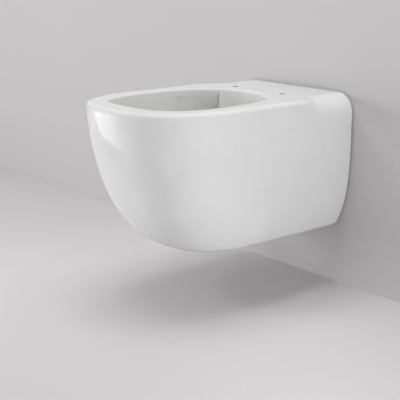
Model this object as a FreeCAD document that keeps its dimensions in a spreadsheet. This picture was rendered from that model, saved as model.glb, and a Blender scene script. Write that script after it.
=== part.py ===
import FreeCAD, Part
import Sketcher

import math
import os

from FreeCAD import Placement, Rotation, Vector

# Wall hung toilet pan with its hidden fixings and pipe connections.
# Frame: +Z up, the user's side towards -Y, the finished wall is the plane Y = 0.
# The origin lies on the wall, midway between the two wall studs.

DRIVING_SIZES = [
    # the pan seen from outside
    ("pan_width", 355.0),
    ("pan_reach", 539.4),
    ("pan_depth", 315.3),
    ("rim_above_studs", 80.0),
    ("nose_length", 195.4),
    ("nose_side_power", 2.663),
    ("nose_front_power", 2.305),
    ("side_tuck", 42.8),
    ("side_tuck_power", 5.086),
    ("front_tuck", 146.7),
    ("front_tuck_power", 1.845),
    ("front_tuck_roundness", 1.461),
    ("rim_edge_radius", 10.0),
    ("shoulder_radius", 44.0),
    ("shoulder_start", 150.0),
    ("shoulder_full", 97.0),
    ("underside_radius", 13.5),
    # china thicknesses
    ("skirt_wall", 10.0),
    ("deck_wall", 18.0),
    ("cavity_corner_radius", 1.0),
    ("cavity_spread_power", 1.6),
    ("floor_wall", 10.0),
    ("bowl_wall", 10.0),
    # the mouth of the bowl, at its upright wall
    ("mouth_half_width", 135.5),
    ("mouth_front_reach", 484.5),
    ("mouth_rear_gap", 151.5),
    ("mouth_widest_at", 321.0),
    ("mouth_front_power", 3.05),
    ("mouth_rear_power", 2.4),
    ("mouth_edge_radius", 5.5),
    ("upright_height", 62.0),
    ("bowl_side_power", 1.7),
    ("bowl_floor_power", 0.8),
    ("bowl_rear_power", 1.15),
    # sump and trapway
    ("sump_at", 282.0),
    ("sump_depth", 238.0),
    ("sump_radius", 42.0),
    ("sump_step", 3.0),
    ("sump_overlap", 10.0),
    ("trap_radius", 33.0),
    ("trap_wall", 8.0),
    ("trap_dip_at", 216.0),
    ("trap_dip_depth", 250.0),
    ("trap_crown_at", 118.0),
    ("trap_crown_depth", 86.0),
    ("trap_fall_at", 64.0),
    ("trap_bend_clearance", 5.0),
    ("outlet_below_rim", 180.0),
    ("outlet_radius", 40.0),
    ("spigot_radius", 51.0),
    ("spigot_length", 56.0),
    # flush water way
    ("inlet_below_rim", 45.0),
    ("socket_radius", 27.5),
    ("socket_depth", 46.0),
    ("socket_wall", 8.0),
    ("flush_channel_radius", 18.0),
    ("flush_box_half_width", 77.0),
    ("groove_depth", 16.0),
    ("groove_top", 20.0),
    ("groove_bottom", 60.0),
    ("groove_fade_power", 1.2),
    ("groove_run_out", 2.0),
    ("groove_turn", -0.12),
    ("groove_wall_turn", -0.3),
    ("flush_box_margin", 8.0),
    ("flush_box_top_step", 6.0),
    ("flush_box_floor_step", 2.0),
    ("edge_allowance", 1.5),
    ("rim_overshoot", 5.0),
    ("tool_overshoot", 20.0),
    ("duct_width", 15.0),
    ("duct_inner_wall", 8.0),
    ("front_slot_width", 44.0),
    ("front_slot_height", 8.0),
    # seat holes
    ("seat_hole_spacing", 155.0),
    ("seat_hole_from_back", 119.5),
    ("seat_hole_radius", 7.5),
    # wall fixing
    ("stud_spacing", 180.0),
    ("stud_radius", 6.0),
    ("stud_in_wall", 60.0),
    ("stud_in_pan", 34.0),
    ("stud_thread_radius", 5.4),
    ("sleeve_wall", 1.7),
    ("mat_thickness", 4.0),
    ("mat_inset", 3.0),
    ("mat_inlet_hole_radius", 32.0),
    ("mat_waste_gap", 2.0),
    ("shelf_below_studs", 18.0),
    ("shelf_thickness", 14.0),
    ("shelf_back_gap", 92.0),
    ("shelf_front_gap", 172.0),
    ("clamp_hole_radius", 9.0),
    ("bracket_washer_gap", 2.75),
    ("bracket_thickness", 6.0),
    ("bracket_above_stud", 22.0),
    ("bracket_arm_tip", 147.0),
    ("bracket_hole_gap", 0.8),
    ("bracket_rib_thickness", 4.0),
    ("bracket_rib_length", 60.0),
    ("pad_thickness", 3.0),
    ("pad_end_gap", 2.0),
    ("stud_nut_width", 18.0),
    ("stud_nut_height", 10.0),
    ("stud_washer_radius", 12.0),
    ("stud_washer_thickness", 2.5),
    ("clamp_screw_radius", 4.0),
    ("clamp_head_radius", 6.5),
    ("clamp_head_height", 8.0),
    ("clamp_tip_length", 4.0),
    ("clamp_key_width", 6.0),
    ("clamp_key_depth", 4.5),
    ("clamp_washer_radius", 8.0),
    ("clamp_washer_thickness", 1.6),
    ("bush_flange_radius", 13.0),
    ("bush_flange_thickness", 2.0),
    ("nut_plate_width", 26.0),
    ("nut_plate_thickness", 8.0),
    # pipe connections
    ("flush_pipe_radius", 22.5),
    ("flush_insert_radius", 22.2),
    ("flush_pipe_wall", 2.5),
    ("flush_pipe_behind_wall", 60.0),
    ("flush_pipe_in_socket", 34.0),
    ("limiter_thickness", 6.0),
    ("limiter_orifice_radius", 13.0),
    ("waste_pipe_radius", 45.0),
    ("waste_pipe_wall", 3.5),
    ("waste_pipe_behind_wall", 60.0),
    ("waste_socket_radius", 60.0),
    ("waste_socket_wall", 3.6),
    ("waste_socket_depth", 36.0),
    ("waste_seal_width", 22.0),
    ("waste_seal_band", 1.6),
    ("waste_lip_width", 3.0),
    ("waste_seal_lips", 3.0),
    ("retaining_ring_width", 6.0),
    # clearances
    ("seat_gap", 0.3),
    ("thread_gap", 0.15),
]

document = FreeCAD.newDocument("wall_hung_toilet")
sheet = document.addObject("Spreadsheet::Sheet", "sizes")
for row_number, (alias, value) in enumerate(DRIVING_SIZES, start=1):
    sheet.set(f"A{row_number}", alias)
    sheet.set(f"B{row_number}", str(value))
    sheet.setAlias(f"B{row_number}", alias)
document.recompute()


def size(alias):
    """The value that the sheet holds for one driving dimension."""
    return float(sheet.get(alias))


rim_z = size("rim_above_studs")
back_y = -size("mat_thickness")


# ---------------------------------------------------------------- outside of the pan

SAME_POINT = 1e-4
NOSE_STEPS = 18
SIDE_STEPS = 14
EDGE_STEPS = 6
WALL_STEPS = 13
UNDERSIDE_STEPS = 6


def smooth_step(fraction):
    """0 below 0, 1 above 1, and an even swing between."""
    bounded = min(max(fraction, 0.0), 1.0)
    return bounded * bounded * (3.0 - 2.0 * bounded)


def skirt_outline(depth_share):
    """Half width, reach and nose length of the plan outline at a share of the depth."""
    half_width = size("pan_width") / 2 - size("side_tuck") * depth_share ** size("side_tuck_power")
    falling = 1.0 - depth_share ** size("front_tuck_power")
    roundness = max(falling, 0.0) ** (1.0 / size("front_tuck_roundness"))
    reach = size("pan_reach") - size("front_tuck") * (1.0 - roundness)
    nose = size("nose_length") * reach / size("pan_reach")
    return half_width, reach, nose


def skirt_point(depth_share, station, inset, end_y):
    """Point and outward direction on half of the plan outline, from the nose to the wall."""
    half_width, reach, nose = skirt_outline(depth_share)
    side_power = size("nose_side_power")
    front_power = size("nose_front_power")
    widest_y = back_y - reach + nose
    if station <= NOSE_STEPS:
        turn = math.pi / 2 * (station / NOSE_STEPS) ** (side_power / 2)
        across = math.sin(turn) ** (2 / side_power)
        along = max(math.cos(turn), 0.0) ** (2 / front_power)
        slope_x = side_power * across ** (side_power - 1) / half_width
        slope_y = -front_power * along ** (front_power - 1) / nose
        length = math.hypot(slope_x, slope_y)
        x = half_width * across - inset * slope_x / length
        y = widest_y - nose * along - inset * slope_y / length
        return x, y
    share = (station - NOSE_STEPS) / SIDE_STEPS
    return half_width - inset, widest_y + (end_y - widest_y) * share


def edge_radius(station):
    """Radius of the top edge: small round the rim, growing to the shoulder at the wall."""
    y = skirt_point(0.0, station, 0.0, back_y)[1]
    start = back_y - size("shoulder_start")
    full = back_y - size("shoulder_full")
    share = smooth_step((y - start) / (full - start))
    return size("rim_edge_radius") + (size("shoulder_radius") - size("rim_edge_radius")) * share


def skirt_profile(station):
    """Depth and inset pairs down the outside, from the flat deck to the flat underside."""
    radius = edge_radius(station)
    depth = size("pan_depth")
    under = size("underside_radius")
    pairs = []
    for step in range(EDGE_STEPS + 1):
        angle = math.pi / 2 * (1 - step / EDGE_STEPS)
        pairs.append((radius * (1 - math.sin(angle)), radius * (1 - math.cos(angle))))
    for step in range(1, WALL_STEPS):
        share = smooth_step(step / WALL_STEPS)
        pairs.append((radius + (depth - under - radius) * share, 0.0))
    for step in range(UNDERSIDE_STEPS + 1):
        angle = math.pi / 2 * step / UNDERSIDE_STEPS
        pairs.append((depth - under * (1 - math.sin(angle)), under * (1 - math.cos(angle))))
    return pairs


def cavity_profile(station):
    """Depth and inset pairs of the hollow inside the skirt, one china wall further in."""
    wall = size("skirt_wall")
    radius = max(edge_radius(station), wall + size("cavity_corner_radius"))
    top = size("deck_wall")
    bottom = size("pan_depth") - size("floor_wall")
    pairs = []
    for step in range(WALL_STEPS + 1):
        share = (step / WALL_STEPS) ** size("cavity_spread_power")
        depth = top + (bottom - top) * share
        inner = (radius - wall) ** 2 - max(radius - depth, 0.0) ** 2
        pairs.append((depth, radius - math.sqrt(max(inner, 0.0)) if depth < radius else wall))
    return pairs


def even_values(lines):
    """Curve parameters from 0 to 1 that follow the mean spacing of the points along the lines."""
    totals = [0.0]
    for step in range(1, len(lines[0])):
        gaps = [line[step].distanceToPoint(line[step - 1]) for line in lines]
        totals.append(totals[-1] + sum(gaps) / len(gaps))
    return [total / totals[-1] for total in totals]


def spline_through(points, values):
    curve = Part.BSplineCurve()
    curve.interpolate(Points=points, Parameters=values)
    return curve


def smooth_surface(columns):
    """Smooth surface through a grid of points, given as columns of the same length."""
    rows = [list(row) for row in zip(*columns)]
    down_values = even_values(columns)
    round_values = even_values(rows)
    down = [spline_through(column, down_values) for column in columns]
    pole_rows = list(zip(*[curve.getPoles() for curve in down]))
    across = [spline_through(list(poles), round_values) for poles in pole_rows]
    poles = [list(column) for column in zip(*[curve.getPoles() for curve in across])]
    surface = Part.BSplineSurface()
    surface.buildFromPolesMultsKnots(
        poles,
        across[0].getMultiplicities(),
        down[0].getMultiplicities(),
        across[0].getKnots(),
        down[0].getKnots(),
        False,
        False,
        across[0].Degree,
        down[0].Degree,
    )
    return surface


def closed_from_grid(columns):
    """Solid inside a smooth surface through the columns, closed by flat top, underside and back."""
    surface = smooth_surface(columns)
    skin = surface.toShape()
    first, last = columns[0], columns[-1]
    top_line = Part.LineSegment(first[0], last[0]).toShape()
    under_line = Part.LineSegment(first[-1], last[-1]).toShape()

    def edge_between(start, end):
        for edge in skin.Edges:
            ends = [vertex.Point for vertex in edge.Vertexes]
            if min(start.distanceToPoint(p) for p in ends) < SAME_POINT:
                if min(end.distanceToPoint(p) for p in ends) < SAME_POINT:
                    return edge
        raise ValueError("the skin has no such edge")

    top_edge = edge_between(first[0], last[0])
    under_edge = edge_between(first[-1], last[-1])
    left_edge = edge_between(first[0], first[-1])
    right_edge = edge_between(last[0], last[-1])
    loops = [
        [top_edge, top_line],
        [under_edge, under_line],
        [left_edge, under_line, right_edge, top_line],
    ]
    faces = [skin] + [Part.Face(Part.Wire(Part.__sortEdges__(loop))) for loop in loops]
    shell = Part.makeShell(faces)
    shell.sewShape()
    solid = Part.makeSolid(shell)
    if solid.Volume < 0:
        solid.reverse()
    return solid


def skirt_solid(profile, full_depth, end_y):
    """Solid of the pan's outer shape, or of the hollow in it, from a profile function."""
    columns = []
    stations = list(range(NOSE_STEPS + SIDE_STEPS, 0, -1)) + list(range(0, NOSE_STEPS + SIDE_STEPS + 1))
    for place, station in enumerate(stations):
        side = -1 if place < NOSE_STEPS + SIDE_STEPS else 1
        column = []
        for depth, inset in profile(station):
            x, y = skirt_point(min(depth / full_depth, 1.0), station, inset, end_y)
            column.append(Vector(side * x, y, rim_z - depth))
        columns.append(column)
    return closed_from_grid(columns)


# ---------------------------------------------------------------- bowl, sump and trapway

BOWL_STATIONS = 48
FINE_STATIONS = 720
TURN_STEPS = 900
GROOVE_STEPS = 12
DUCT_STEPS = 16
BOWL_LEVELS = 14


def bowl_shares(depth, bottom):
    """How open the bowl still is at a depth, 1 at its mouth and 0 at its sump: sides, then rear."""
    fraction = (depth - size("upright_height")) / (bottom - size("upright_height"))
    fallen = min(max(fraction, 0.0), 1.0)
    sides = (1.0 - fallen ** size("bowl_side_power")) ** size("bowl_floor_power")
    rear = (1.0 - fallen) ** size("bowl_rear_power")
    return sides, rear


def bowl_point(depth, bottom, turn, offset):
    """Point on the bowl's plan outline at a depth; turn runs round from the right side."""
    share, rear_share = bowl_shares(depth, bottom)
    sump = size("sump_radius") - size("sump_step")
    half_width = sump + (size("mouth_half_width") - sump) * share
    middle = size("sump_at") + (size("mouth_widest_at") - size("sump_at")) * share
    front = sump + (size("mouth_front_reach") - size("mouth_widest_at") - sump) * share
    sump_rear_gap = size("sump_at") - sump
    rear = middle - sump_rear_gap + (sump_rear_gap - size("mouth_rear_gap")) * rear_share
    to_front = math.sin(turn) < 0
    reach = front if to_front else rear
    mouth_power = size("mouth_front_power") if to_front else size("mouth_rear_power")
    power = 2.0 + (mouth_power - 2.0) * share
    across = abs(math.cos(turn)) ** (2 / power)
    along = abs(math.sin(turn)) ** (2 / power)
    slope_x = across ** (power - 1) / half_width
    slope_y = along ** (power - 1) / reach
    length = math.hypot(slope_x, slope_y)
    x = half_width * across + offset * slope_x / length
    y = reach * along + offset * slope_y / length
    return Vector(
        math.copysign(x, math.cos(turn)),
        back_y - middle + math.copysign(y, math.sin(turn)),
        rim_z - depth,
    )


def even_turns(depth, bottom):
    """Turns that space the outline's points evenly along its length."""
    turn_step = 2 * math.pi / FINE_STATIONS
    points = [bowl_point(depth, bottom, turn_step * k, 0.0) for k in range(FINE_STATIONS + 1)]
    lengths = [0.0]
    for before, after in zip(points, points[1:]):
        lengths.append(lengths[-1] + before.distanceToPoint(after))
    turns = []
    place = 0
    for station in range(BOWL_STATIONS):
        target = lengths[-1] * station / BOWL_STATIONS
        while lengths[place + 1] < target:
            place += 1
        part = (target - lengths[place]) / (lengths[place + 1] - lengths[place])
        turns.append(turn_step * (place + part))
    return turns


def ring_wire(points):
    """Smooth closed curve through the points."""
    curve = Part.BSplineCurve()
    values = [k / len(points) for k in range(len(points) + 1)]
    curve.interpolate(Points=points, PeriodicFlag=True, Parameters=values)
    return Part.Wire(curve.toShape())


def bowl_ring(depth, bottom, offset):
    """Smooth outline of the bowl at a depth, grown outwards by an offset."""
    turns = even_turns(depth, bottom)
    return ring_wire([bowl_point(depth, bottom, turn, offset) for turn in turns])


def bowl_solid(top, bottom, offset):
    """Solid of the bowl from one depth to another: an upright mouth, then the closing part."""
    upright = size("upright_height")
    upper = Part.Face(bowl_ring(top, bottom, offset)).extrude(Vector(0, 0, top - upright))
    rings = []
    for level in range(BOWL_LEVELS + 1):
        depth = upright + (bottom - upright) * level / BOWL_LEVELS
        rings.append(bowl_ring(depth, bottom, offset))
    return one_solid(upper.fuse(Part.makeLoft(rings, True, False)))


def rounded_path(points, radius):
    """Wire of straight runs through the points, its corners rounded by tangent arcs."""
    edges = []
    start = points[0]
    for before, corner, after in zip(points, points[1:], points[2:]):
        back = (before - corner).normalize()
        on = (after - corner).normalize()
        half_angle = back.getAngle(on) / 2
        cut = radius / math.tan(half_angle)
        arc_start = corner + back * cut
        arc_end = corner + on * cut
        inward = (back + on).normalize()
        middle = corner + inward * (radius / math.sin(half_angle) - radius)
        edges.append(Part.LineSegment(start, arc_start).toShape())
        edges.append(Part.Arc(arc_start, middle, arc_end).toShape())
        start = arc_end
    edges.append(Part.LineSegment(start, points[-1]).toShape())
    return Part.Wire(edges)


def trap_points():
    """Corners of the trapway's centre line, from the sump to the outlet."""
    outlet_z = rim_z - size("outlet_below_rim")
    return [
        Vector(0, back_y - size("sump_at"), rim_z - size("sump_depth")),
        Vector(0, back_y - size("trap_dip_at"), rim_z - size("trap_dip_depth")),
        Vector(0, back_y - size("trap_crown_at"), rim_z - size("trap_crown_depth")),
        Vector(0, back_y - size("trap_fall_at"), outlet_z),
        Vector(0, back_y - size("spigot_length") / 2, outlet_z),
    ]


def trap_tube(radius):
    """Round tube along the trapway's centre line."""
    bend = size("trap_radius") + size("trap_wall") + size("trap_bend_clearance")
    path = rounded_path(trap_points(), bend)
    start = path.Edges[0]
    direction = start.tangentAt(start.FirstParameter)
    section = Part.Wire(Part.makeCircle(radius, trap_points()[0], direction))
    return path.makePipeShell([section], True, False)


def sump_ball(extra):
    centre = Vector(0, back_y - size("sump_at"), rim_z - size("sump_depth"))
    return Part.makeSphere(size("sump_radius") + extra, centre)


# ---------------------------------------------------------------- flush water way

def mouth_point(turn, offset):
    """Point on the upright wall of the bowl's mouth, moved out by an offset."""
    return bowl_point(0.0, size("pan_depth"), turn, offset)


def turn_where(test):
    """First turn from the right side towards the rear for which a test on the point is true."""
    for step in range(TURN_STEPS):
        turn = math.pi / 2 * step / TURN_STEPS
        if test(mouth_point(turn, 0.0)):
            return turn
    return math.pi / 2


def slab(outline, top_depth, bottom_depth):
    """Upright solid over a plan outline, between two depths below the rim."""
    flat = [Vector(p.x, p.y, rim_z - bottom_depth) for p in outline]
    face = Part.Face(Part.makePolygon(flat + [flat[0]]))
    return face.extrude(Vector(0, 0, bottom_depth - top_depth))


def mirrored(shape):
    return shape.mirror(Vector(0, 0, 0), Vector(1, 0, 0))


def groove(extra, front_turn, top_depth, bottom_depth):
    """Side water groove: deepest beside the flush box, running out along the bowl's side."""
    box_turn = turn_where(lambda p: p.x < size("flush_box_half_width") - extra / 2)
    points = [mouth_point(box_turn, -size("bowl_wall"))]
    for step in range(GROOVE_STEPS + 1):
        share = step / GROOVE_STEPS
        turn = box_turn + (front_turn - box_turn) * share
        fading = size("groove_depth") * (1 - share) ** size("groove_fade_power")
        out = fading - size("groove_run_out") * share
        points.append(mouth_point(turn, out + extra))
    return slab(points, top_depth, bottom_depth)


def duct(inner, outer, half_width, top_depth, bottom_depth):
    """Upright band behind the rear of the bowl, between two offsets from its wall."""
    end_turn = turn_where(lambda p: p.x < half_width)
    span = math.pi - 2 * end_turn
    turns = [end_turn + span * step / DUCT_STEPS for step in range(DUCT_STEPS + 1)]
    near = [mouth_point(turn, inner) for turn in turns]
    far = [mouth_point(turn, outer) for turn in turns]
    return slab(near + far[::-1], top_depth, bottom_depth)


def along_y(radius, start_y, end_y, x, z):
    """Cylinder along Y between two places."""
    return Part.makeCylinder(radius, end_y - start_y, Vector(x, start_y, z), Vector(0, 1, 0))


def one_solid(shape):
    """The single solid that a cut or a join leaves."""
    if len(shape.Solids) != 1:
        raise ValueError(f"{len(shape.Solids)} solids where one was expected")
    return shape.Solids[0]


def rim_mouth_edges(body):
    """Edges of the bowl's mouth in the flat rim."""
    edges = []
    for edge in body.Edges:
        box = edge.BoundBox
        flat = abs(box.ZMin - rim_z) < 0.01 and abs(box.ZMax - rim_z) < 0.01
        if flat and box.YMax < back_y - size("mouth_rear_gap") + size("rim_overshoot"):
            edges.append(edge)
    return edges


def pan_shape():
    """The whole china casting."""
    beyond = size("tool_overshoot")
    wall = size("bowl_wall")
    depth = size("pan_depth")
    bowl_bottom = size("sump_depth") - size("sump_overlap")
    under_edge = size("mouth_edge_radius") + size("edge_allowance")
    outlet_z = rim_z - size("outlet_below_rim")
    inlet_z = rim_z - size("inlet_below_rim")
    mouth_rear_y = back_y - size("mouth_rear_gap")
    groove_top, groove_bottom = size("groove_top"), size("groove_bottom")
    duct_wall = size("duct_inner_wall")
    duct_far = duct_wall + size("duct_width")
    box_half_width = size("flush_box_half_width")
    box_margin = size("flush_box_margin")
    box_top = groove_top + size("flush_box_top_step")
    box_bottom = groove_bottom - size("flush_box_floor_step")

    outside = skirt_solid(skirt_profile, depth, back_y)
    mouth = bowl_solid(-size("rim_overshoot"), bowl_bottom, 0.0)
    outside = one_solid(outside.cut(mouth))
    outside = outside.makeFillet(size("mouth_edge_radius"), rim_mouth_edges(outside))
    hollow = skirt_solid(cavity_profile, depth - size("floor_wall"), back_y + beyond)
    shell = one_solid(outside.cut(hollow))

    shelf_width = size("pan_width") - size("skirt_wall")
    shelf_corner = Vector(-shelf_width / 2, back_y - size("shelf_front_gap"), shelf_bottom_z)
    shelf_length = size("shelf_front_gap") - size("shelf_back_gap")
    spigot_start = back_y - size("spigot_length") - beyond
    socket_outside = size("socket_radius") + size("socket_wall")
    outer_groove = groove(wall, size("groove_wall_turn"), under_edge, groove_bottom + wall)
    added = [
        Part.makeBox(shelf_width, shelf_length, size("shelf_thickness"), shelf_corner),
        bowl_solid(under_edge, bowl_bottom + wall, wall),
        sump_ball(size("trap_wall")),
        trap_tube(size("trap_radius") + size("trap_wall")),
        along_y(size("spigot_radius"), spigot_start, back_y, 0, outlet_z),
        along_y(socket_outside, mouth_rear_y + size("edge_allowance"), back_y, 0, inlet_z),
        duct(-wall, duct_far + wall, box_half_width - wall, under_edge, groove_bottom + wall),
        outer_groove,
        mirrored(outer_groove),
    ]
    body = shell
    for piece in added:
        body = one_solid(body.fuse(piece))

    socket_bottom = back_y - size("socket_depth")
    channel_start = mouth_rear_y + duct_wall + size("duct_width") / 2
    channel_end = socket_bottom + size("edge_allowance")
    slot_width, slot_height = size("front_slot_width"), size("front_slot_height")
    slot_corner = Vector(-slot_width / 2, channel_start - beyond, rim_z - box_bottom)
    inner_groove = groove(0.0, size("groove_turn"), groove_top, groove_bottom)
    removed = [
        bowl_solid(under_edge, bowl_bottom, 0.0),
        sump_ball(0.0),
        trap_tube(size("trap_radius")),
        along_y(size("outlet_radius"), spigot_start + beyond, back_y + beyond, 0, outlet_z),
        along_y(size("socket_radius"), socket_bottom, back_y + beyond, 0, inlet_z),
        along_y(size("flush_channel_radius"), channel_start, channel_end, 0, inlet_z),
        duct(duct_wall, duct_far, box_half_width + box_margin, box_top, box_bottom),
        Part.makeBox(slot_width, beyond, slot_height, slot_corner),
        inner_groove,
        mirrored(inner_groove),
    ]
    hole_y = back_y - size("seat_hole_from_back")
    seat_hole_length = size("deck_wall") + 2 * beyond
    clamp_hole_length = size("shelf_thickness") + 2 * size("edge_allowance")
    for side in (-1, 1):
        hole_x = side * size("seat_hole_spacing") / 2
        deck_start = Vector(hole_x, hole_y, rim_z - size("deck_wall") - beyond)
        removed.append(Part.makeCylinder(size("seat_hole_radius"), seat_hole_length, deck_start))
        shelf_start = Vector(hole_x, hole_y, shelf_bottom_z - size("edge_allowance"))
        removed.append(Part.makeCylinder(size("clamp_hole_radius"), clamp_hole_length, shelf_start))
    for space in removed:
        body = one_solid(body.cut(space))
    return body


# ---------------------------------------------------------------- helpers for the fixings

TOWARDS_WALL = Rotation(Vector(1, 0, 0), -90)
parts = {}


def bind(feature, **expressions):
    """Tie properties of a feature to the sheet; a double underscore stands for a dot."""
    for name, expression in expressions.items():
        feature.setExpression(name.replace("__", "."), expression)
    return feature


def keep(name, feature):
    """Name a finished sub-part."""
    feature.Label = name
    parts[name] = feature
    return feature


def shaped(name, shape):
    """A sub-part whose shape is computed from the sheet."""
    feature = document.addObject("Part::Feature", name)
    feature.Shape = shape
    feature.Placement = Placement(Vector(0, 0, 0), Rotation())
    return keep(name, feature)


def place(feature, rotation, x, y, z):
    feature.Placement = Placement(Vector(0, 0, 0), rotation)
    return bind(feature, Placement__Base__x=x, Placement__Base__y=y, Placement__Base__z=z)


def rod(name, radius, start, length, x="0", z="0"):
    """Round bar along +Y from a start, all as expressions on the sheet."""
    feature = document.addObject("Part::Cylinder", name)
    bind(feature, Radius=radius, Height=length)
    return place(feature, TOWARDS_WALL, x, start, z)


def post(name, radius, bottom, height, x, y):
    """Round bar along +Z from its bottom."""
    feature = document.addObject("Part::Cylinder", name)
    bind(feature, Radius=radius, Height=height)
    return place(feature, Rotation(), x, y, bottom)


def box(name, width, length, height, x, y, z):
    """Block with its low corner at x, y, z."""
    feature = document.addObject("Part::Box", name)
    bind(feature, Width=length, Length=width, Height=height)
    return place(feature, Rotation(), x, y, z)


def cut(name, base, tool):
    feature = document.addObject("Part::Cut", name)
    feature.Base = base
    feature.Tool = tool
    return feature


def fuse(name, pieces):
    feature = document.addObject("Part::MultiFuse", name)
    feature.Shapes = pieces
    return feature


def group(name, pieces):
    """Separate solids of one node."""
    feature = document.addObject("Part::Compound", name)
    feature.Links = pieces
    return keep(name, feature)


def tube(name, outer, inner, start, length, x="0", z="0"):
    outside = rod(name + "_outside", outer, start, length, x, z)
    inside = rod(name + "_inside", inner, start, length, x, z)
    return cut(name, outside, inside)


def ring(name, outer, inner, bottom, height, x, y):
    outside = post(name + "_outside", outer, bottom, height, x, y)
    inside = post(name + "_inside", inner, bottom, height, x, y)
    return cut(name, outside, inside)


# ---------------------------------------------------------------- the pan and the mat

shelf_bottom_z = -size("shelf_below_studs") - size("shelf_thickness")
shaped("pan", pan_shape())


def mat_shape():
    """Soft sheet between the pan and the wall, a little smaller than the pan's back."""
    station = NOSE_STEPS + SIDE_STEPS
    edge = []
    for depth, inset in skirt_profile(station):
        x, _ = skirt_point(min(depth / size("pan_depth"), 1.0), station, inset, back_y)
        edge.append(Vector(x, back_y, rim_z - depth))
    half = []
    for place in range(len(edge)):
        run = edge[min(place + 1, len(edge) - 1)] - edge[max(place - 1, 0)]
        if place in (0, len(edge) - 1):
            run = Vector(1, 0, 0) if place == 0 else Vector(-1, 0, 0)
        inward = Vector(run.z, 0, -run.x).normalize()
        half.append(edge[place] + inward * size("mat_inset"))
    right = spline_through(half, even_values([half])).toShape()
    left = mirrored(right)
    top = Part.LineSegment(Vector(-half[0].x, half[0].y, half[0].z), half[0]).toShape()
    under = Part.LineSegment(half[-1], Vector(-half[-1].x, half[-1].y, half[-1].z)).toShape()
    face = Part.Face(Part.Wire(Part.__sortEdges__([top, right, under, left])))
    thickness = size("mat_thickness")
    mat = face.extrude(Vector(0, thickness, 0))
    inlet_z = rim_z - size("inlet_below_rim")
    outlet_z = rim_z - size("outlet_below_rim")
    sleeve_hole = size("stud_thread_radius") + 2 * size("seat_gap") + size("sleeve_wall")
    waste_hole = size("waste_socket_radius") + size("mat_waste_gap")
    beyond = size("tool_overshoot")
    holes = [
        along_y(size("mat_inlet_hole_radius"), back_y - beyond, beyond, 0, inlet_z),
        along_y(waste_hole, back_y - beyond, beyond, 0, outlet_z),
        along_y(sleeve_hole, back_y - beyond, beyond, size("stud_spacing") / 2, 0),
        along_y(sleeve_hole, back_y - beyond, beyond, -size("stud_spacing") / 2, 0),
    ]
    for hole in holes:
        mat = one_solid(mat.cut(hole))
    return mat


shaped("acoustic_mat", mat_shape())


# ---------------------------------------------------------------- wall studs and brackets

SIDES = {"left": "-1", "right": "1"}


def stud_x(side):
    return f"{SIDES[side]} * sizes.stud_spacing / 2"


def clamp_x(side):
    return f"{SIDES[side]} * sizes.seat_hole_spacing / 2"


CLAMP_Y = "-sizes.mat_thickness - sizes.seat_hole_from_back"
FLANGE_FRONT = "-sizes.mat_thickness - sizes.bracket_thickness"
SHELF_TOP = "-sizes.shelf_below_studs"
SHELF_BOTTOM = "-sizes.shelf_below_studs - sizes.shelf_thickness"
ARM_TOP = SHELF_BOTTOM + " - sizes.pad_thickness"
ARM_BOTTOM = ARM_TOP + " - sizes.bracket_thickness"
BRACKET_EDGE = "(sizes.stud_washer_radius + sizes.bracket_washer_gap + sizes.bracket_rib_thickness)"
BRACKET_WIDTH = f"(abs(sizes.stud_spacing - sizes.seat_hole_spacing) / 2 + 2 * {BRACKET_EDGE})"


# Lines are drawn this long before the sheet's expressions set their real lengths.
ROUGH = 10.0


def origin_plane(body, role):
    for feature in body.Origin.OriginFeatures:
        if feature.Role == role:
            return feature
    raise ValueError(role)


def sketch_on(body, name, role, offset):
    """Sketch on a plane of the body's own origin, moved along that plane's normal."""
    sketch = body.newObject("Sketcher::SketchObject", name)
    sketch.AttachmentSupport = [(origin_plane(body, role), "")]
    sketch.MapMode = "FlatFace"
    sketch.setExpression("AttachmentOffset.Base.z", offset)
    return sketch


def draw_rectangle(sketch, low_x, low_y, width, height):
    """Rectangle whose low corner and sides are tied to the sheet."""
    corners = [Vector(0, 0, 0), Vector(ROUGH, 0, 0), Vector(ROUGH, ROUGH, 0), Vector(0, ROUGH, 0)]
    for start, end in zip(corners, corners[1:] + corners[:1]):
        sketch.addGeometry(Part.LineSegment(start, end), False)
    for line in range(len(corners)):
        after = (line + 1) % len(corners)
        sketch.addConstraint(Sketcher.Constraint("Coincident", line, 2, after, 1))
    for line, kind in enumerate(("Horizontal", "Vertical", "Horizontal", "Vertical")):
        sketch.addConstraint(Sketcher.Constraint(kind, line))
    measures = [
        ("low_x", Sketcher.Constraint("DistanceX", -1, 1, 0, 1, ROUGH), low_x),
        ("low_y", Sketcher.Constraint("DistanceY", -1, 1, 0, 1, ROUGH), low_y),
        ("width", Sketcher.Constraint("DistanceX", 0, 1, 0, 2, ROUGH), width),
        ("height", Sketcher.Constraint("DistanceY", 1, 1, 1, 2, ROUGH), height),
    ]
    for name, constraint, expression in measures:
        index = sketch.addConstraint(constraint)
        sketch.renameConstraint(index, name)
        sketch.setExpression(f"Constraints.{name}", expression)


def draw_circle(sketch, x, y, radius):
    """Circle whose centre and radius are tied to the sheet."""
    sketch.addGeometry(Part.Circle(Vector(ROUGH, ROUGH, 0), Vector(0, 0, 1), ROUGH), False)
    measures = [
        ("centre_x", Sketcher.Constraint("DistanceX", -1, 1, 0, 3, ROUGH), x),
        ("centre_y", Sketcher.Constraint("DistanceY", -1, 1, 0, 3, ROUGH), y),
        ("radius", Sketcher.Constraint("Radius", 0, ROUGH), radius),
    ]
    for name, constraint, expression in measures:
        index = sketch.addConstraint(constraint)
        sketch.renameConstraint(index, name)
        sketch.setExpression(f"Constraints.{name}", expression)


def add_pad(body, name, sketch, length, reverse=False):
    pad = body.newObject("PartDesign::Pad", name)
    pad.Profile = sketch
    pad.setExpression("Length", length)
    pad.Reversed = reverse
    return pad


def add_pocket(body, name, sketch):
    """Hole both ways through the body."""
    pocket = body.newObject("PartDesign::Pocket", name)
    pocket.Profile = sketch
    pocket.Type = "ThroughAll"
    pocket.Midplane = True
    return pocket


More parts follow.
